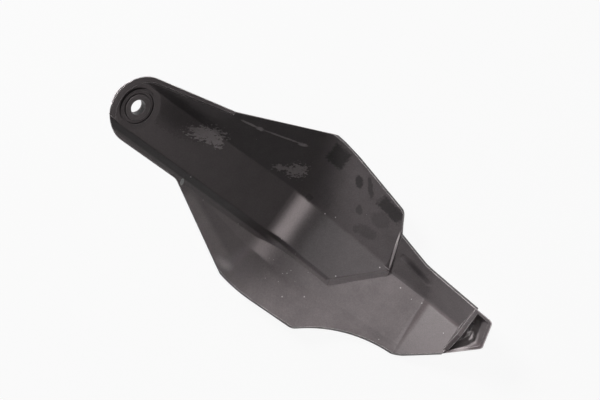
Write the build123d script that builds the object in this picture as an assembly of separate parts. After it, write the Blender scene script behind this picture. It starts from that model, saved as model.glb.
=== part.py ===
from build123d import *
import os
from math import cos, radians, sin, tan

# Wall and overall layout, in mm and degrees
wall = 2.5
arm_tilt = 42.0
bend_radius = 38.0
crease_radius = 4.0
reach = 400.0
clear = 120.0

# Upper wall beside the main bend
wall_foot_y = 12.0
top_slope = 28.0
top_foot_turn = 4.4
arm_foot_turn = 0.5
top_fold_lean = 12.0

# Step from the upper level down to the lower level
step_depth = 2.6
arm_step_depth = 4.5
step_slope = 34.0
step_radius = 1.2
step_y = -16.5
step_turn = 2.5
arm_step_turn = 0.7
end_step_slope = 68.0
step_corner = (36.0, -18.3)
step_end = (60.5, 6.5)
notch = (54.5, 26.4)
bevel_width = 2.6
bevel_top_width = 0.9
bevel_slope = 20.0

# Lower flap that rises again towards its free edge
flap_foot_y = -33.3
flap_slope = 27.0
flap_foot_turn = 2.5
flap_arm_turn = 9.9
flap_fold_lean = 17.5

# Extension towards the bar end
end_bend_x = 90.0
end_tilt = 27.0
end_bend_radius = 12.0
side_foot_y = 5.2
side_foot_turn = 3.0
side_slope = 32.7
side_fold_lean = 29.5

# Free edge of the upper wall and the side wall, in plan
arm_kink = (-61.5, 27.1)
peak = (-8.0, 51.7)
top_corner = (47.3, 37.7)
side_kink = (79.5, 19.9)
side_end_y = 17.4
kink_radius = 25.0
peak_radius = 11.0
top_corner_radius = 6.0

# Free edge of the flap and the extension, in plan
flap_start = (-67.0, -22.0)
flap_corner = (-14.0, -54.6)
flap_edge_end = (35.0, -53.2)
curve_middle = (57.5, -39.0)
curve_end = (90.0, -31.6)
end_edge = (96.5, -28.2)
end_edge_y = -15.2
flap_start_radius = 9.0
flap_corner_radius = 13.0
edge_radius = 7.0

# Shallow groove pressed into the side wall
groove_start = (63.0, 17.2)
groove_end = (83.0, 13.2)
groove_radius = 7.0
groove_depth = 0.3

# Bolt lug at the free end of the arm
lug_along = 138.5
lug_y = -2.0
lug_radius = 19.1
lug_end_shift = (3.2, -0.4)
lug_edge_turn = 11.0
lug_bore_d = 8.5
seat_d = 15.0
seat_groove_width = 1.9
seat_groove_depth = 1.0
ridge_width = 1.3
ridge_height = 0.9
ridge_turn = -20.0
moat_width = 2.4
moat_depth = 1.0
lug_boss_d = 28.0
lug_boss_height = 2.0
rim_height = 5.8
rim_tip_height = 2.0
rim_width = 0.9
rim_draft = 22.0
rim_end_y = -14.0

# Web and pocket at the bar end, with the pocket's lengths taken from the web
web_x = 112.0
web_thickness = 2.8
web_shoulder = (-0.5, 20.7)
web_low_corner = (-14.2, 7.2)
web_foot_z = 4.0
pocket_wall = 1.5
pocket_corner_radius = 2.0
pocket_floor_z = 6.5
pocket_low_end = (14.4, 1.4)
pocket_top_end = (10.3, 15.2)
pocket_floor_end = (7.0, 6.0)
pocket_floor_low = (7.6, 2.0)
pocket_floor_top = (5.0, 12.0)
pocket_rim_point = (-1.0, 18.3, 22.8)
pocket_rim_normal = (-0.45, -0.5, 1.0)
bar_bore_d = 6.6
bar_bore_y = 4.5
bar_bore_z = 14.2
bar_boss_d = 11.5
bar_boss_length = 2.4


def unit(v):
    return Vector(*v).normalized()


def upward(v):
    return v if v.Z > 0 else v * -1


def trough(point, fold, left, right, radius, grow):
    # Space above a sheet folded along one line, with the sheet moved outwards by grow.
    f = unit(fold)
    r = (right - f * right.dot(f)).normalized()
    side = (left - f * left.dot(f)).normalized()
    up = upward(f.cross(r))
    section = Plane(origin=point, x_dir=r, z_dir=r.cross(up))
    lu, lv = side.dot(r), side.dot(up)
    shift = grow / (1 - lu)
    vx, vy = -lv * shift, -grow
    far_l = (vx + reach * lu, vy + reach * lv)
    far_r = (vx + reach, vy)
    sheet = FilletPolyline(far_l, (vx, vy), far_r, radius=radius + grow)
    back = Polyline(far_r, (far_r[0], 2 * reach), (far_l[0], 2 * reach), far_l)
    face = make_face(sheet.edges() + back.edges())
    return extrude(section * face, amount=reach, both=True)


def beyond(point, normal, grow):
    # Space on the open side of one flat sheet moved outwards by grow.
    n = unit(normal)
    base = Plane(origin=Vector(*point) - n * grow, z_dir=n)
    return extrude(base * Rectangle(2 * reach, 2 * reach), amount=reach)


def height(point, normal, x, y):
    # Height of a flat sheet at a place in plan.
    n = Vector(*normal)
    return point[2] - (n.X * (x - point[0]) + n.Y * (y - point[1])) / n.Z


def through(a, b, c):
    # Upward normal of the flat sheet through three points.
    a, b, c = Vector(*a), Vector(*b), Vector(*c)
    return upward((b - a).cross(c - a)).normalized()


# Directions and flat sheets that the walls share
arm_dir = Vector(-cos(radians(arm_tilt)), 0, sin(radians(arm_tilt)))
arm_normal = Vector(sin(radians(arm_tilt)), 0, cos(radians(arm_tilt)))
flat_dir = Vector(1, 0, 0)
across = Vector(0, 1, 0)
end_dir = Vector(cos(radians(end_tilt)), 0, sin(radians(end_tilt)))


def turned(along, degrees):
    # Direction turned from along towards +Y by a few degrees.
    return along * cos(radians(degrees)) + across * sin(radians(degrees))


def rising(along, slope, toward):
    # Direction square to along, climbing at slope towards +Y or -Y.
    level = Vector(-along.Y, along.X, 0) * toward
    return level * cos(radians(slope)) + Vector(0, 0, sin(radians(slope)))


def leaning(along, slope, toward, lean):
    # Fold line of a wall, climbing and leaning back towards -X.
    return rising(along, slope, toward) * cos(radians(lean)) - along * sin(radians(lean))


top_point = (0, wall_foot_y, 0)
top_along = turned(flat_dir, -top_foot_turn)
top_fold = leaning(top_along, top_slope, 1, top_fold_lean)
top_arm_along = turned(arm_dir, -arm_foot_turn)
top_normal = upward(top_along.cross(top_fold))
top_arm_normal = upward(top_arm_along.cross(top_fold))

low_bend_x = (step_depth * cos(radians(arm_tilt)) - arm_step_depth) / sin(radians(arm_tilt))
flap_point = (low_bend_x, flap_foot_y, -step_depth)
flap_along = turned(flat_dir, flap_foot_turn)
flap_fold = leaning(flap_along, flap_slope, -1, flap_fold_lean)
flap_arm_along = turned(arm_dir, flap_arm_turn)
flap_normal = upward(flap_along.cross(flap_fold))
flap_arm_normal = upward(flap_arm_along.cross(flap_fold))

side_point = (end_bend_x, side_foot_y, -step_depth)
side_along = turned(flat_dir, -side_foot_turn)
side_fold = leaning(side_along, side_slope, 1, side_fold_lean)
side_end_along = turned(end_dir, -side_foot_turn)
side_normal = upward(side_along.cross(side_fold))
side_end_normal = upward(side_end_along.cross(side_fold))


def on_top(x, y):
    return Vector(x, y, height(top_point, top_normal, x, y))


def on_arm_top(x, y):
    return Vector(x, y, height(top_point, top_arm_normal, x, y))


def on_flap(x, y):
    return Vector(x, y, height(flap_point, flap_normal, x, y))


def on_arm_flap(x, y):
    return Vector(x, y, height(flap_point, flap_arm_normal, x, y))


def on_side(x, y):
    return Vector(x, y, height(side_point, side_normal, x, y))


def on_side_end(x, y):
    return Vector(x, y, height(side_point, side_end_normal, x, y))


def on_end(x, y):
    return Vector(x, y, -step_depth + (x - end_bend_x) * tan(radians(end_tilt)))


def softened(space, radius):
    # The space with the creases between its floor and walls rounded.
    creases = []
    for e in space.edges():
        middle = e.position_at(0.5)
        lengthwise = abs(e.tangent_at(0.5).Y) < 0.35
        near = abs(middle.X) < 0.9 * reach and abs(middle.Y) < clear and middle.Z < reach / 2
        if lengthwise and near:
            creases.append(e)
    return fillet(creases, radius)


def upper_space(grow):
    # Space above the arm, the knuckle panel and the upper wall.
    floor = trough((0, 0, 0), across, arm_dir, flat_dir, bend_radius, grow)
    top = trough(top_point, top_fold, top_arm_along, top_along, bend_radius, grow)
    return softened(floor & top, crease_radius + grow)


def lower_space(grow):
    # Space above the flap, the extension, its side wall and its rising end.
    floor = trough((low_bend_x, 0, -step_depth), across, arm_dir, flat_dir, bend_radius, grow)
    end = trough((end_bend_x, 0, -step_depth), across, flat_dir * -1, end_dir, end_bend_radius, grow)
    flap = trough(flap_point, flap_fold, flap_arm_along, flap_along, bend_radius, grow)
    side = trough(side_point, side_fold, side_along * -1, side_end_along, end_bend_radius, grow)
    return softened(floor & end & flap & side, crease_radius + grow)


def step_side(grow):
    # Region beyond the steep face at the end of the step.
    b = (step_end[0], step_end[1], 0)
    e = radians(end_step_slope)
    return beyond(b, through(b, on_top(*notch), (b[0] + cos(e), b[1], -sin(e))), grow)


def lower_region(grow):
    # Region of the lower level, bounded by the sloped faces of the step.
    half = radians(arm_tilt / 2)
    s = radians(step_slope)
    fall = Vector(-sin(s) * sin(half), -cos(s), -sin(s) * cos(half))
    arm_edge = turned(arm_dir, arm_step_turn)
    edge = turned(flat_dir, -step_turn)
    front = trough((0, step_y, 0), fall, arm_edge, edge, bend_radius, grow)
    a = (step_corner[0], step_corner[1], 0)
    b = (step_end[0], step_end[1], 0)
    out = Vector(b[1] - a[1], a[0] - b[0], 0).normalized()
    corner = beyond(a, out * sin(s) + Vector(0, 0, cos(s)), grow) & beyond((0, 0, 0), flat_dir, 0)
    return front + corner + step_side(grow)


def step_bevel(grow):
    # Narrow bevel on the steep end of the step, tapering towards the notch.
    a = on_top(step_end[0] - bevel_width, step_end[1])
    b = on_top(notch[0] - bevel_top_width, notch[1])
    t = radians(bevel_slope)
    side = beyond(a, through(a, b, a + Vector(cos(t), 0, -sin(t))), grow)
    middle = (a + b) * 0.5
    block = Pos(middle.X, step_end[1] + clear / 2, middle.Z) * Box(4 * step_depth, clear, clear)
    return (side & block) - step_side(grow)


def touches(solid, place):
    return min(f.distance_to(place) for f in solid.faces()) < 0.001


def open_space(grow):
    # Space on the rider's side of the whole sheet, with the step's upper edge rounded.
    region = lower_region(grow)
    upper = upper_space(grow)
    space = (upper - region) + (lower_space(grow) & region)
    edges = []
    for e in space.edges():
        middle = e.position_at(0.5)
        lengthwise = abs(e.tangent_at(0.5).X) > 0.65 and e.length > 1
        near = abs(middle.X) < 0.75 * reach and middle.Z < reach / 2
        if lengthwise and near and touches(region, middle) and touches(upper, middle):
            edges.append(e)
    return fillet(edges, step_radius) + step_bevel(grow)


def local(plane, p):
    q = plane.to_local_coords(p)
    return (q.X, q.Y)


def extended(a, b, length):
    # Point beyond b on the line from a to b.
    return b + (b - a).normalized() * length


def rounded(face, corners):
    # The face with the named corners rounded.
    for place, radius in corners:
        corner = face.vertices().sort_by_distance(Vector(place[0], place[1], 0))[0]
        face = fillet(corner, radius)
    return face


def top_trim():
    # Everything above the free edge of the upper wall and the side wall.
    plane = Plane(origin=top_point, x_dir=flat_dir, z_dir=top_normal)
    corner = on_top(*top_corner)
    kink = on_side(*side_kink)
    end = on_side_end(web_x, side_end_y)
    first = local(plane, extended(corner, on_top(*peak), clear))
    last = local(plane, extended(kink, end, clear))
    points = [local(plane, p) for p in (corner, on_top(*notch), kink)]
    face = make_face(Polyline((first[0], 2 * clear), first, *points, last, (last[0], 2 * clear), close=True))
    face = rounded(face, [(points[0], top_corner_radius), (points[2], kink_radius)])
    return extrude(plane * face, amount=clear, both=True)


def bottom_trim():
    # Everything below the free edge of the flap and the extension.
    plane = Plane(origin=flap_point, x_dir=flat_dir, z_dir=flap_normal)
    corner = on_flap(*flap_edge_end)
    a = local(plane, corner)
    middle = local(plane, on_flap(*curve_middle))
    b = local(plane, on_flap(*curve_end))
    c = local(plane, on_end(*end_edge))
    first = local(plane, extended(corner, on_flap(*flap_corner), clear))
    last = local(plane, extended(on_end(*end_edge), on_end(web_x, end_edge_y), clear))
    curve = ThreePointArc(a, middle, b)
    line = Polyline(b, c, last, (last[0], -2 * clear), (first[0], -2 * clear), first, a)
    face = rounded(make_face(curve.edges() + line.edges()), [(a, edge_radius), (c, edge_radius)])
    return extrude(plane * face, amount=clear / 3, both=True)


arm_plane = Plane(origin=(0, 0, 0), x_dir=arm_dir * -1, z_dir=arm_normal)
lug_x = -lug_along


def in_arm(p):
    # Place in the arm's plane straight above or below p.
    return (p.X / cos(radians(arm_tilt)), p.Y)


def lug_end(inset):
    # Rounded end of the lug between its two straight edges, moved inwards by inset.
    cx, cy = lug_x + lug_end_shift[0], lug_y + lug_end_shift[1]
    r = lug_radius - inset
    t = radians(lug_edge_turn)
    start = (cx - r * sin(t), cy + r * cos(t))
    finish = (cx, cy - r)
    return start, finish, ThreePointArc(start, (cx - r, cy), finish).edges()


def arm_outline():
    # Outline of the arm and the left side of the flap, drawn in the arm's plane.
    kink = in_arm(on_arm_top(*arm_kink))
    top = in_arm(on_arm_top(*peak))
    far_top = in_arm(extended(on_top(*peak), on_top(*top_corner) + across * crease_radius, clear))
    low = in_arm(on_flap(*flap_corner))
    far_low = in_arm(extended(on_flap(*flap_corner), on_flap(*flap_edge_end) - across * crease_radius, clear))
    foot = in_arm(Vector(*flap_start, 0))
    start, finish, arcs = lug_end(0)
    far = reach / 1.6
    line = Polyline(finish, foot, low, far_low, (far, low[1]), (far, top[1]), far_top, top, kink, start)
    face = make_face(arcs + line.edges())
    corners = [(kink, kink_radius), (top, peak_radius), (low, flap_corner_radius), (foot, flap_start_radius)]
    return rounded(face, corners)


def arm_strip(inset):
    # Lug and upper edge of the arm in the arm's plane, moved inwards by inset.
    kink = in_arm(on_arm_top(*arm_kink))
    kink = (kink[0], kink[1] - inset)
    start, finish, arcs = lug_end(inset)
    line = Polyline(finish, (kink[0], finish[1]), kink, start)
    return make_face(arcs + line.edges())


def arm_rim():
    # Raised rim round the lug and along the upper edge of the arm.
    solid = extrude(arm_plane * arm_strip(0), amount=2 * rim_height, dir=(0, 0, 1))
    foot = arm_strip(rim_width + rim_height * tan(radians(rim_draft)))
    hollow = extrude(arm_plane * foot, amount=rim_height, taper=-rim_draft)
    lower_side = Pos(lug_x, rim_end_y - clear, 0) * Box(2 * clear, 2 * clear, clear)
    tip = arm_plane.from_local_coords(Vector(lug_x + lug_end_shift[0] - lug_radius, 0, rim_tip_height))
    kink = arm_plane.from_local_coords(Vector(in_arm(on_arm_top(*arm_kink))[0], 0, rim_height))
    above = beyond(tip, through(tip, kink, tip + across), 0)
    return solid - hollow - arm_plane * lower_side - above


def ring(outer, inner, low, high):
    # Ring square to the arm, round the lug bore.
    face = Circle(outer) - Circle(inner) if inner > 0 else Circle(outer)
    place = arm_plane * Pos(lug_x, lug_y, low)
    return extrude(place * face, amount=high - low)


def from_web(x, y, z):
    return (web_x + x, y, z)


def on_rim(x, y):
    return from_web(x, y, height(pocket_rim_point, pocket_rim_normal, x, y))


def pocket_space(grow):
    # Space inside the end pocket, open towards the rider.
    low_l, low_r = on_rim(0, end_edge_y + pocket_wall), on_rim(*pocket_low_end)
    top_l, top_r = on_rim(0, side_end_y - pocket_wall), on_rim(*pocket_top_end)
    floor = beyond((0, 0, pocket_floor_z), (0, 0, 1), grow)
    end = beyond(low_r, through(low_r, top_r, from_web(*pocket_floor_end, pocket_floor_z)), grow)
    low = beyond(low_r, through(low_l, low_r, from_web(*pocket_floor_low, pocket_floor_z)), grow)
    top = beyond(top_r, through(top_l, top_r, from_web(*pocket_floor_top, pocket_floor_z)), grow)
    return floor & end & low & top


def round_cup(cup, radius):
    # The cup with the two upright corners at its far end rounded.
    corners = []
    for e in cup.edges():
        upright = abs(e.tangent_at(0.5).Z) > 0.5
        if upright and e.position_at(0.5).X > web_x + 2 * web_thickness:
            corners.append(e)
    return fillet(corners, radius)


def pocket():
    # Cup beyond the web, cut off at its sloping rim.
    block = Pos(web_x + clear / 2, 0, 0) * Box(clear, clear, clear)
    outer = round_cup(pocket_space(pocket_wall) & block, pocket_corner_radius + pocket_wall)
    inner = round_cup(pocket_space(0) & Pos(web_thickness, 0, 0) * block, pocket_corner_radius)
    above = beyond(from_web(*pocket_rim_point), pocket_rim_normal, 0)
    return outer - inner - above


def web():
    # Upright plate across the end of the extension, carrying the bar end boss.
    top = on_rim(0, side_end_y)[2]
    points = [(side_end_y, top), web_shoulder, web_low_corner, (end_edge_y, web_foot_z)]
    face = make_face(Polyline(*points, (side_end_y, web_foot_z), close=True))
    side = Plane(origin=(web_x, 0, 0), x_dir=(0, 1, 0), z_dir=(1, 0, 0))
    return extrude(side * face, amount=web_thickness) & lower_space(wall / 2)


def along_bar(diameter, x, length):
    # Cylinder on the axis of the bar end bore.
    return Pos(x, bar_bore_y, bar_bore_z) * Rot(0, 90, 0) * Cylinder(
        diameter / 2, length, align=(Align.CENTER, Align.CENTER, Align.MIN)
    )


def runout(rise):
    # Space above a sheet through the lug centre that climbs towards the free end.
    t = radians(ridge_turn)
    free_end = arm_dir * cos(t) - across * sin(t)
    centre = arm_plane.from_local_coords(Vector(lug_x, lug_y, 0))
    return beyond(centre, arm_normal - free_end * rise, 0)


def lug_details(body):
    # Bolt seat with a groove, a ridge and a moat round it, and the boss behind.
    seat = seat_d / 2
    foot = seat + seat_groove_width
    ridge = foot + ridge_width
    body += ring(lug_boss_d / 2, 0, -wall - lug_boss_height, -wall / 2)
    body += ring(ridge, foot, -wall / 2, ridge_height) - runout(ridge_height / ridge)
    body -= ring(ridge + moat_width, ridge, -moat_depth, rim_height) & runout(-moat_depth / ridge)
    body -= ring(foot, seat, -seat_groove_depth, rim_height)
    return body - ring(lug_bore_d / 2, 0, -lug_boss_d, lug_boss_d)


def groove():
    # Round-ended groove along the side wall.
    lift = side_normal.normalized() * (groove_radius - groove_depth)
    a = on_side(*groove_start) + lift
    b = on_side(*groove_end) + lift
    place = Plane(origin=a, z_dir=b - a)
    bar = Cylinder(groove_radius, (b - a).length, align=(Align.CENTER, Align.CENTER, Align.MIN))
    return place * bar + Pos(a) * Sphere(groove_radius) + Pos(b) * Sphere(groove_radius)


def hand_guard():
    # The whole moulding, resting on its lower floor at height 0 and centred in plan.
    shell = open_space(wall) - open_space(0)
    shell -= top_trim()
    shell -= bottom_trim()
    shell -= beyond((web_x + web_thickness / 2, 0, 0), (1, 0, 0), 0)
    shell &= extrude(arm_plane * arm_outline(), amount=reach / 2, dir=(0, 0, 1), both=True)
    rim = arm_rim() & upper_space(wall / 2)
    body = lug_details(shell + rim) - groove()
    boss = along_bar(bar_boss_d, web_x + web_thickness / 2, web_thickness / 2 + bar_boss_length)
    body += pocket() + web() + boss
    body -= along_bar(bar_bore_d, web_x - 1, web_thickness + bar_boss_length + 2)
    box = body.bounding_box()
    return Pos(-box.center().X, -box.center().Y, -box.min.Z) * body


os.makedirs("parts", exist_ok=True)
guard_shell = hand_guard()
export_step(guard_shell, "parts/guard_shell.step")
print("guard_shell", len(guard_shell.solids()), guard_shell.is_valid, guard_shell.bounding_box())
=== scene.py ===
# %% [markdown]
# A hand guard for the right side of a motorcycle's handlebar, seen from the rider's side.
# It is one injection-moulded piece of black plastic: a long arm with a bolt lug, a folded
# knuckle panel, a lower flap and a small pocket at the bar end. The solid model already has
# the folds, steps and bores, so this lesson is about the finish: the moulded grain, the
# marks that use has left, and a light that lets a nearly black surface show its folds.

# %% Load the solid model and keep its size
from math import cos, radians, sin

import bpy
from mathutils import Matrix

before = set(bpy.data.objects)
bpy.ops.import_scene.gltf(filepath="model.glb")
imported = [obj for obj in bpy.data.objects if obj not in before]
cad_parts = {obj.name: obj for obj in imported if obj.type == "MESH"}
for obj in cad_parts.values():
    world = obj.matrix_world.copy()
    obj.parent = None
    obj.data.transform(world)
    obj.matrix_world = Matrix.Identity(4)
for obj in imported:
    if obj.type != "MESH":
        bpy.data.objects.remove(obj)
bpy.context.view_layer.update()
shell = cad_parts["guard_shell"]

# %% [markdown]
# The view sets the directions for everything else. The guard lies with its hollow side up, and
# the camera looks straight down on it, turned so that the lug is at the upper left. A long lens
# from a metre away keeps the tall lug end and the low panel at nearly the same scale.
# Later cells place marks and lights by the picture's own directions: right and up in the picture
# are these two level directions.

# %% Camera and the picture's directions
picture_turn = radians(36)
picture_right = (cos(picture_turn), sin(picture_turn), 0)
picture_up = (-sin(picture_turn), cos(picture_turn), 0)

camera_data = bpy.data.cameras.new("camera")
camera_data.lens = 108.6
camera_data.sensor_width = 36
camera = bpy.data.objects.new("camera", camera_data)
camera.location = (-0.01084, 0.01066, 1.0551)
camera.rotation_euler = (0, 0, picture_turn)
bpy.context.scene.collection.objects.link(camera)
bpy.context.scene.camera = camera
print("camera at", [round(v, 3) for v in camera.location])

# %% [markdown]
# A shader is a small machine of nodes. Writing each node as one call keeps the wiring readable:
# the call names the node, sets the numbers that stay fixed and links the sockets that vary. Some
# sockets share a name, and i0, i1 and so on pick those by their place. The other helpers cover
# most of the work: one step of arithmetic, a product, a soft threshold and a blend of two colours.

# %% Helpers for shader nodes
def node(tree, kind, settings=None, **inputs):
    made = tree.nodes.new("ShaderNode" + kind)
    for name, value in (settings or {}).items():
        setattr(made, name, value)
    for name, value in inputs.items():
        by_place = name[0] == "i" and name[1:].isdigit()
        socket = made.inputs[int(name[1:]) if by_place else name.replace("_", " ")]
        if hasattr(value, "links"):
            tree.links.new(value, socket)
        else:
            socket.default_value = value
    return made


def calc(tree, operation, a, b=0.0):
    return node(tree, "Math", {"operation": operation}, i0=a, i1=b).outputs[0]


def times(tree, product, *factors):
    for factor in factors:
        product = calc(tree, "MULTIPLY", product, factor)
    return product


def fade(tree, value, start, end):
    settings = {"interpolation_type": "SMOOTHSTEP"}
    made = node(tree, "MapRange", settings, Value=value, From_Min=start, From_Max=end)
    return made.outputs["Result"]


def blend(tree, amount, a, b):
    return node(tree, "Mix", {"data_type": "RGBA"}, i0=amount, i6=a, i7=b).outputs[2]


# %% [markdown]
# The plastic is charcoal rather than pure black, and its mould was etched, so the skin has a fine
# grain. The grain is a bump about half a millimetre across. The corners of a moulding are never
# knife sharp, and the Bevel node rounds them in the shading, so a rim gets its thin bright line
# without a single new face. Places are measured in millimetres, to the picture's right and up,
# from the part's own origin.

# %% Plastic: place, grain and rounded corners
plastic = bpy.data.materials.new("black_grained_plastic")
plastic.use_nodes = True
tree = plastic.node_tree
tree.nodes.clear()

coordinates = node(tree, "TexCoord").outputs
turned = {"Rotation": (0, 0, -picture_turn), "Scale": (1000, 1000, 1000)}
place = node(tree, "Mapping", Vector=coordinates["Object"], **turned).outputs[0]
flat = node(tree, "VectorMath", {"operation": "MULTIPLY"}, i0=place, i1=(1, 1, 0)).outputs[0]
height = node(tree, "SeparateXYZ", Vector=place).outputs["Z"]

grain = node(tree, "TexNoise", Vector=place, Scale=1.6, Detail=2.0).outputs[0]
rounding = node(tree, "Bevel", {"samples": 8}, Radius=0.0005).outputs[0]
bump = {"Strength": 0.14, "Distance": 0.0002}
skin_normal = node(tree, "Bump", Height=grain, Normal=rounding, **bump).outputs[0]

cloud = node(tree, "TexNoise", Vector=place, Scale=0.11, Detail=5.0, Roughness=0.6).outputs[0]
fine = node(tree, "TexNoise", Vector=place, Scale=0.9, Detail=3.0).outputs[0]
uneven = calc(tree, "ADD", times(tree, cloud, 0.6), times(tree, fine, 0.4))
print("grain, rounding and two unevennesses")

# %% [markdown]
# Most marks of use and the painted light are on the hollow side, where the part's own normal points
# up, so one mask of that normal keeps them off the outer side. Dust and painted shade lie between
# folds and steps, which are straight in plan. A line has a point and the direction that leads away
# from it, and the shader measures in millimetres how far a place lies past the line.

# %% Lines along the folds and steps
facing = node(tree, "SeparateXYZ", Vector=coordinates["Normal"]).outputs
inside = fade(tree, facing["Z"], 0.1, 0.3)


def past_line(tree, point, turn):
    line = {"Location": (*point, 0), "Rotation": (0, 0, radians(turn))}
    made = node(tree, "Mapping", {"vector_type": "TEXTURE"}, Vector=flat, **line)
    return node(tree, "SeparateXYZ", Vector=made.outputs[0]).outputs["X"]


arm_step = past_line(tree, (-33.0, 1.0), -127.5)
bend = past_line(tree, (-17.0, -5.9), -36)
knuckle_step = past_line(tree, (-14.6, -9.9), -128.5)
panel_corner = past_line(tree, (14.7, -30.9), -80.7)
side_wall = past_line(tree, (50.6, -27.8), -127.5)
end_fold = past_line(tree, (60.9, -58.1), -30.4)
flap_edge = past_line(tree, (-57.7, -3.6), 28)
crease = past_line(tree, (34.2, -55.8), -123.3)
print("eight lines in plan")

# %% [markdown]
# The lower panel and the flap have gathered a thin film of dust and look paler than the knuckle
# panel above the step. The film starts at the step, and past the end fold it is thinner.

# %% Film of dust
clean_plastic = (0.102, 0.09, 0.0925, 1)
film_dust = (0.195, 0.172, 0.175, 1)
end_dust = (0.112, 0.093, 0.096, 1)

below_arm = fade(tree, arm_step, -0.6, 1.0)
past_bend = fade(tree, bend, -8.0, 6.0)
below_knuckle = fade(tree, knuckle_step, -0.8, 0.8)
past_corner = fade(tree, panel_corner, -0.3, 0.5)
off_side_wall = fade(tree, side_wall, -0.3, 0.3)
lower = calc(tree, "MAXIMUM", below_arm, times(tree, below_knuckle, past_bend))
lower = times(tree, calc(tree, "MAXIMUM", lower, past_corner), off_side_wall, inside)

at_end = fade(tree, end_fold, -0.6, 0.6)
thin_at_end = calc(tree, "SUBTRACT", 1.0, times(tree, at_end, 0.75))
film = times(tree, lower, thin_at_end, calc(tree, "ADD", times(tree, uneven, 0.6), 0.55))
colour = blend(tree, film, clean_plastic, film_dust)
colour = blend(tree, times(tree, lower, at_end), colour, end_dust)
print("film of dust on the lower panel")

# %% [markdown]
# The step faces and the flap's steep half are painted paler: a little dust and mostly painted light,
# as the lamps hardly reach them. Faces are told apart by the way they face. The flap's outer edge has
# a painted highlight and the pocket painted fill light; beside the bend and along the lower edge the
# panel
# has painted shade: the arm's shadow and the shade where the panel curls down.

# %% Dust with painted light, painted highlight and painted shade
# Colours for the paler step and flap, the flap's edge highlight, the pocket's fill light and painted
# shade.
painted_light_and_dust = (0.32, 0.287, 0.292, 1)
edge_highlight_colour = (0.48, 0.43, 0.437, 1)
pocket_fill_colour = (0.38, 0.343, 0.347, 1)
shade_colour = (0.055, 0.049, 0.051, 1)

# Painted light, with a little dust: the step faces and the flap's steep half are painted paler.
on_step = times(tree, fade(tree, facing["Y"], -0.2, -0.35), fade(tree, facing["X"], 0.1, 0.35))
on_flap = fade(tree, facing["X"], 0.45, 0.66)
light_and_dust = times(tree, lower, calc(tree, "MAXIMUM", on_step, on_flap))
colour = blend(tree, light_and_dust, colour, painted_light_and_dust)

in_picture = node(tree, "SeparateXYZ", Vector=flat).outputs
# Painted highlight: a pale strip along the flap's rounded outer edge.
beside_flap = fade(tree, calc(tree, "ABSOLUTE", in_picture["Y"]), 21.0, 15.0)
edge_highlight = times(tree, fade(tree, flap_edge, 8.5, 4.5), beside_flap, lower)
colour = blend(tree, edge_highlight, colour, edge_highlight_colour)

# Painted shadow of the arm beside the bend, and painted shade along the lower edge where the panel
# curls down.
arm_shadow = times(tree, fade(tree, bend, 3.0, 10.0), fade(tree, bend, 48.0, 14.0))
arm_shadow = times(tree, arm_shadow, fade(tree, crease, 8.0, 3.0))
curl_shade = times(tree, fade(tree, crease, -0.4, 0.8), fade(tree, in_picture["X"], 12.0, 24.0), 0.6)
off_upper_wall = fade(tree, facing["Y"], -0.45, -0.3)
painted_shade = times(tree, calc(tree, "MAXIMUM", arm_shadow, curl_shade), off_upper_wall, inside)
colour = blend(tree, times(tree, painted_shade, 0.26), colour, shade_colour)

# Painted fill light: the pocket's shadowed depth is painted pale.
along = node(tree, "SeparateXYZ", Vector=coordinates["Object"]).outputs["X"]
pocket = times(tree, fade(tree, along, 0.109, 0.114), fade(tree, height, 24.0, 19.0), inside)
colour = blend(tree, pocket, colour, pocket_fill_colour)
print("thick dust on the step, the flap and in the pocket")

# %% [markdown]
# Marks are patches: an ellipse or a box, given by its middle, its half lengths and its turn. The
# edge of a patch is made ragged by pushing the coordinates about with a noise before the distance
# is measured. Damp has darkened a few patches on the upper wall.

# %% Damp patches on the upper wall
push = node(tree, "TexNoise", Vector=flat, Scale=0.35, Detail=3.0).outputs[1]
add_push = {"operation": "MULTIPLY_ADD"}
pushed = node(tree, "VectorMath", add_push, i0=push, i1=(2, 2, 0), i2=flat).outputs[0]
ragged = node(tree, "VectorMath", {"operation": "SUBTRACT"}, i0=pushed, i1=(1, 1, 0)).outputs[0]


def from_middle(tree, coords, middle, half, turn, box=False):
    patch = {"Location": (*middle, 0), "Rotation": (0, 0, radians(turn)), "Scale": (*half, 1)}
    local = node(tree, "Mapping", {"vector_type": "TEXTURE"}, Vector=coords, **patch).outputs[0]
    if not box:
        return node(tree, "VectorMath", {"operation": "LENGTH"}, i0=local).outputs["Value"]
    size = node(tree, "VectorMath", {"operation": "ABSOLUTE"}, i0=local).outputs[0]
    axis = node(tree, "SeparateXYZ", Vector=size).outputs
    return calc(tree, "MAXIMUM", axis["X"], axis["Y"])


# Each patch has its middle, half lengths, turn and strength, and True for a box.
damp_plastic = (0.035, 0.032, 0.033, 1)
damp_patches = [
    ((19.5, 39.7), (5.6, 5.2), -39, 0.8, True),
    ((31.4, 25.5), (2.1, 3.8), 10, 0.8, False),
    ((37.8, 22.1), (1.4, 6.2), 8, 0.6, False),
    ((49.6, 9.3), (8.2, 3.4), -46, 0.8, True),
    ((31.5, 9.4), (1.8, 2.8), 0, 0.5, False),
    ((44.0, 3.4), (5.5, 4.5), -30, 0.3, False),
    ((36.1, -3.5), (6.5, 3.2), -35, 0.3, False),
    ((29.8, -1.8), (1.8, 2.4), 0, 0.35, False),
]
damp = 0.0
for middle, half, turn, strength, box in damp_patches:
    distance = from_middle(tree, ragged, middle, half, turn, box)
    distance = calc(tree, "ADD", distance, times(tree, fine, 0.6))
    damp = calc(tree, "MAXIMUM", damp, times(tree, fade(tree, distance, 1.5, 1.1), strength))
damp = times(tree, damp, inside)
colour = blend(tree, damp, colour, damp_plastic)
print(len(damp_patches), "damp patches")

# %% [markdown]
# Something has rubbed the dark side of the arm: broken pale patches and thin scratches. A streaky
# noise, longer across than up, is added to the distance before the threshold, so the patches break
# up towards their edges as real scuffs do.

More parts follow.
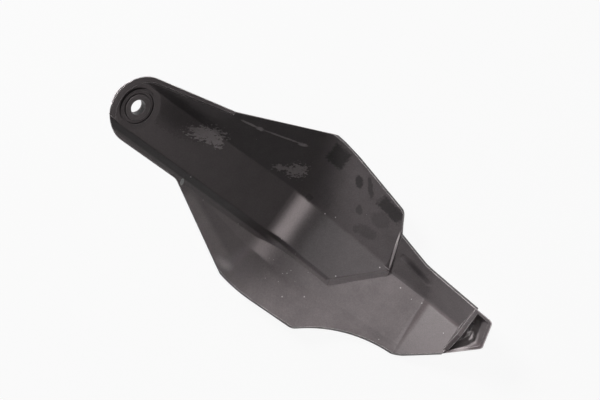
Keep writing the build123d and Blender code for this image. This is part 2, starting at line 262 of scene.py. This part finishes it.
# %% Scuffs
streaks = node(tree, "Mapping", Vector=flat, Scale=(0.4, 0.9, 1)).outputs[0]
streaks = node(tree, "TexNoise", Vector=streaks, Scale=1.0, Detail=4.0, Roughness=0.7).outputs[0]
broken = times(tree, calc(tree, "SUBTRACT", streaks, 0.45), 3.4)
slightly_broken = times(tree, broken, 0.4)

scuffed_plastic = (0.40, 0.365, 0.37, 1)
scuff_patches = [
    ((-53.6, 51.2), (11.5, 4.8), -6, 0.9),
    ((-50.0, 48.4), (7.0, 4.4), -40, 0.9),
    ((-4.4, 31.8), (7.5, 4.6), 4, 0.8),
    ((-12.5, 33.0), (7.0, 1.8), -6, 0.7),
]
scratches = [
    ((-29.7, 56.7), (6.0, 0.6), -24, 0.8),
    ((-24.6, 54.4), (2.6, 1.0), -20, 0.8),
    ((-11.5, 50.0), (14.0, 0.5), -18.6, 0.7),
    ((-0.8, 46.2), (2.8, 1.0), -12, 0.8),
]
scuff = 0.0
for middle, half, turn, strength in scuff_patches:
    distance = calc(tree, "ADD", from_middle(tree, ragged, middle, half, turn), broken)
    scuff = calc(tree, "MAXIMUM", scuff, times(tree, fade(tree, distance, 1.0, 0.8), strength))
for middle, half, turn, strength in scratches:
    distance = calc(tree, "ADD", from_middle(tree, flat, middle, half, turn), slightly_broken)
    scuff = calc(tree, "MAXIMUM", scuff, times(tree, fade(tree, distance, 1.3, 0.6), strength))
scuff = times(tree, scuff, inside)
colour = blend(tree, scuff, colour, scuffed_plastic)
print(len(scuff_patches), "scuffed patches and", len(scratches), "scratches")

# %% [markdown]
# Painted shade darkens the upper arm and the lug's raised rim; on the arm the same mask also stands
# for grease, which smooths the skin. The rim is what stands above the arm's own plane, so its height
# is measured along the lug's axis, which is given a length of 1000 to turn metres into millimetres.
# The bolt head has polished its seat, which is found by the distance from the bolt's middle.

# %% Painted shade on the arm and lug, and the bolt's seat
lug_axis = (669, 0, 743)
seat_middle = (-88.1, 63.9, 97.8)
polished_seat = (0.20, 0.185, 0.187, 1)

upper_arm_place = from_middle(tree, flat, (-66, 60), (22, 12), -25)
grease_and_shade = times(tree, fade(tree, upper_arm_place, 1.3, 0.2), inside, 0.7)
along_axis = {"operation": "DOT_PRODUCT"}
raised = node(tree, "VectorMath", along_axis, i0=coordinates["Object"], i1=lug_axis).outputs["Value"]
lug_rim = times(tree, fade(tree, raised, 0.4, 2.4), fade(tree, height, 60.0, 80.0), inside)
# Painted shade on the upper arm and the lug's raised rim.
colour = blend(tree, calc(tree, "MAXIMUM", grease_and_shade, lug_rim), colour, shade_colour)

from_seat = node(tree, "VectorMath", {"operation": "DISTANCE"}, i0=place, i1=seat_middle)
from_seat = from_seat.outputs["Value"]
seat = times(tree, fade(tree, from_seat, 7.6, 7.3), 0.5)
colour = blend(tree, seat, colour, polished_seat)
print("grease, lug rim and seat")

# %% [markdown]
# The smallest marks finish the story: painted shade in the groove of the side wall, a dull spot on
# the bend, a painted glint at the flap's upper corner, a painted highlight on its lower corner and a
# painted highlight on the end of the upper wall. Each has its own edge: the distance at which it
# starts and the one at which it is full.

# %% Small marks, painted shade and painted highlights
highlight_colour = (0.62, 0.57, 0.575, 1)
spot_plastic = (0.05, 0.045, 0.046, 1)
# Painted shade in the groove, a painted glint at the flap's upper corner and a painted highlight on
# its lower corner.
groove_shade = ((64.6, -25.4), (12.5, 2.8), -47), (1.1, 0.1), 0.85, (0.035, 0.031, 0.032, 1)
corner_glint = ((-67.5, 25.0), (1.0, 2.0), -20), (1.1, 0.8), 1.0, (1, 1, 1, 1)
flap_corner_highlight = ((-47.0, -20.5), (7.0, 3.6), -36), (1.2, 0.1), 0.9, (0.75, 0.69, 0.70, 1)

for patch, edge, strength, mark_colour in (groove_shade, corner_glint, flap_corner_highlight):
    mark = fade(tree, from_middle(tree, flat, *patch), *edge)
    colour = blend(tree, times(tree, mark, inside, strength), colour, mark_colour)

spot_place = from_middle(tree, ragged, (2.7, 16.2), (2.0, 2.0), 45, box=True)
spot = times(tree, fade(tree, spot_place, 1.1, 0.8), inside)
colour = blend(tree, times(tree, spot, 0.8), colour, spot_plastic)

# Painted highlight on the end of the upper wall.
wall_end_highlight = fade(tree, from_middle(tree, flat, (52.1, -14.4), (10.8, 0.7), 75), 1.2, 0.8)
colour = blend(tree, times(tree, wall_end_highlight, 0.8), colour, highlight_colour)
print("streak, chip, flap corner, spot and wall end")

# %% [markdown]
# Specks of dust are the cell centres of a Voronoi texture, each of its own size by the cell's own
# chance. A few lie everywhere, and a finer spray of them lies on the lower panel beside the bend.

# %% Specks
speck_dust = (0.75, 0.70, 0.70, 1)


def specks(tree, scale, least, growth, soft):
    cells = node(tree, "TexVoronoi", Vector=flat, Scale=scale).outputs
    chance = node(tree, "SeparateColor", Color=cells["Color"]).outputs[0]
    size = times(tree, calc(tree, "SUBTRACT", chance, least), growth)
    return fade(tree, calc(tree, "SUBTRACT", cells["Distance"], size), soft, -soft)


scattered = times(tree, specks(tree, scale=0.16, least=0.55, growth=0.16, soft=0.012), 0.6)
spray_place = fade(tree, from_middle(tree, flat, (-12.3, -26.2), (22, 14), -35), 1.1, 0.5)
spray = times(tree, specks(tree, scale=0.4, least=0.6, growth=0.35, soft=0.03), spray_place, 0.5)
speck = times(tree, calc(tree, "MAXIMUM", scattered, spray), inside)
colour = blend(tree, speck, colour, speck_dust)
print("scattered specks and a spray")

# %% [markdown]
# Rims get painted highlights: their corners are painted pale, palest and near white on the arm, for
# the light that rounded edges catch. A second, wider Bevel node finds the corners: its normal leans
# away from the face's own normal there. Inner corners lean as well, but they are shaded by the walls
# around them, and the Ambient Occlusion node tells the two apart.

# %% Painted highlights on rims
rim_glint_colour = (1.0, 0.93, 0.94, 1)

wide = node(tree, "Bevel", {"samples": 8}, Radius=0.0012).outputs[0]
own = node(tree, "NewGeometry").outputs["Normal"]
agree = node(tree, "VectorMath", {"operation": "DOT_PRODUCT"}, i0=wide, i1=own).outputs["Value"]
openness = node(tree, "AmbientOcclusion", {"samples": 8}, Distance=0.004).outputs["AO"]
corners = times(tree, fade(tree, agree, 0.96, 0.84), fade(tree, openness, 0.65, 0.9))
# Painted highlights on the rims' corners, near white on the arm.
rim = times(tree, corners, uneven, fade(tree, height, 150.0, 50.0), 1.1)
colour = blend(tree, rim, colour, highlight_colour)
on_arm = times(tree, fade(tree, height, 45.0, 70.0), fade(tree, from_seat, 12.5, 14.0))
colour = blend(tree, times(tree, corners, on_arm), colour, rim_glint_colour)
print("rims highlighted")

# %% [markdown]
# A little mottling keeps the large facets from looking painted. The scuffed and dusty skin is duller
# than the rest, and so are the lug's rim and ridge. Grease and handling have smoothed the arm. The
# gloss itself is one low number, because the grain scatters most of it.

# %% Skin
moulded_roughness = 0.29
gloss = 0.2

mottle = calc(tree, "ADD", times(tree, uneven, 0.6), times(tree, grain, 0.5))
mottle = calc(tree, "ADD", mottle, 0.45)
colour = node(tree, "VectorMath", {"operation": "SCALE"}, i0=colour, Scale=mottle).outputs[0]

dull = times(tree, calc(tree, "MAXIMUM", scuff, spot), 0.25)
dull = calc(tree, "MAXIMUM", dull, times(tree, film, 0.1))
ridge = times(tree, fade(tree, from_seat, 9.0, 9.4), fade(tree, from_seat, 14.0, 12.5))
dull_lug = times(tree, calc(tree, "MAXIMUM", lug_rim, ridge), 0.3)
handled = fade(tree, bend, -14.0, -30.0)
smooth = calc(tree, "ADD", times(tree, grease_and_shade, 0.13), times(tree, handled, 0.02))
roughness = calc(tree, "ADD", times(tree, fine, 0.06), moulded_roughness)
roughness = calc(tree, "ADD", roughness, calc(tree, "ADD", dull, dull_lug))
roughness = calc(tree, "SUBTRACT", roughness, smooth)

skin = node(tree, "BsdfPrincipled", Base_Color=colour, Normal=skin_normal, Roughness=roughness)
skin.inputs["Specular IOR Level"].default_value = gloss
node(tree, "OutputMaterial", Surface=skin.outputs["BSDF"])
shell.data.materials.clear()
shell.data.materials.append(plastic)
print("plastic has", len(tree.nodes), "nodes")

# %% [markdown]
# The guard lies on white paper. To the camera and in reflections the paper is a plain white glow, and
# a little of it is ordinary matt paper that takes the shadow. The matt part is grey, so that the
# paper throws less light up into the dark folds.

# %% Paper
bpy.ops.object.select_all(action="DESELECT")
bpy.ops.mesh.primitive_plane_add(size=8)
floor = bpy.context.object
floor.name = "floor"
paper = bpy.data.materials.new("white_paper")
paper.use_nodes = True
tree = paper.node_tree
tree.nodes.clear()
path = node(tree, "LightPath").outputs
mirrored = calc(tree, "MAXIMUM", path["Is Glossy Ray"], path["Is Transmission Ray"])
seen = calc(tree, "MAXIMUM", path["Is Camera Ray"], mirrored)
white = node(tree, "Emission", Strength=1.0).outputs[0]
matt = node(tree, "BsdfDiffuse", Color=(0.35, 0.35, 0.35, 1)).outputs[0]
mixed = node(tree, "MixShader", Fac=times(tree, seen, 0.93), i1=matt, i2=white).outputs[0]
node(tree, "OutputMaterial", Surface=mixed)
floor.data.materials.append(paper)
print("white paper")

# %% [markdown]
# The arm slopes towards the picture's lower right and the upper wall leans over the panel. A lamp low
# behind both of them leaves them dark, as in the photo, and still lights the panel and the flap. A
# second lamp, opposite, shows only as the bright band on the bend: it adds gloss and no plain light.
# A faint one overhead opens the shadows. The pocket is steep and narrow, so a spot in a tight cone
# shines straight down into it, as a photographer's snoot would.

# %% Lights
def lamp(name, angle, elevation, distance, size, power):
    a, e = radians(angle), radians(elevation)
    level = [cos(a) * u + sin(a) * r for u, r in zip(picture_up, picture_right)]
    data = bpy.data.lights.new(name, "AREA")
    data.shape = "DISK"
    data.size = size
    data.energy = power
    made = bpy.data.objects.new(name, data)
    made.location = [distance * cos(e) * v for v in level[:2]] + [distance * sin(e)]
    made.rotation_euler = made.location.to_track_quat("Z", "Y").to_euler()
    bpy.context.scene.collection.objects.link(made)
    return made


lamp("main_light", angle=322, elevation=39, distance=1.5, size=0.48, power=32)
lamp("top_light", angle=322, elevation=90, distance=1.5, size=0.3, power=1.2)
band = lamp("band_light", angle=126, elevation=37.5, distance=4, size=2.3, power=210)
band.data.color = (1.0, 0.88, 0.89)
band.visible_diffuse = False

beam = bpy.data.lights.new("pocket_light", "SPOT")
beam.energy = 130
beam.spot_size = radians(1.1)
beam.spot_blend = 1
beam.shadow_soft_size = 0.03
pocket_light = bpy.data.objects.new("pocket_light", beam)
pocket_light.location = (0.1155, 0.0069, 1.5)
bpy.context.scene.collection.objects.link(pocket_light)

world = bpy.data.worlds.new("room")
world.use_nodes = True
bpy.context.scene.world = world
room = world.node_tree.nodes["Background"].inputs
room["Color"].default_value = (1, 1, 1, 1)
room["Strength"].default_value = 0.05
bpy.context.scene.view_settings.view_transform = "Standard"
print("four lamps and a dim room")
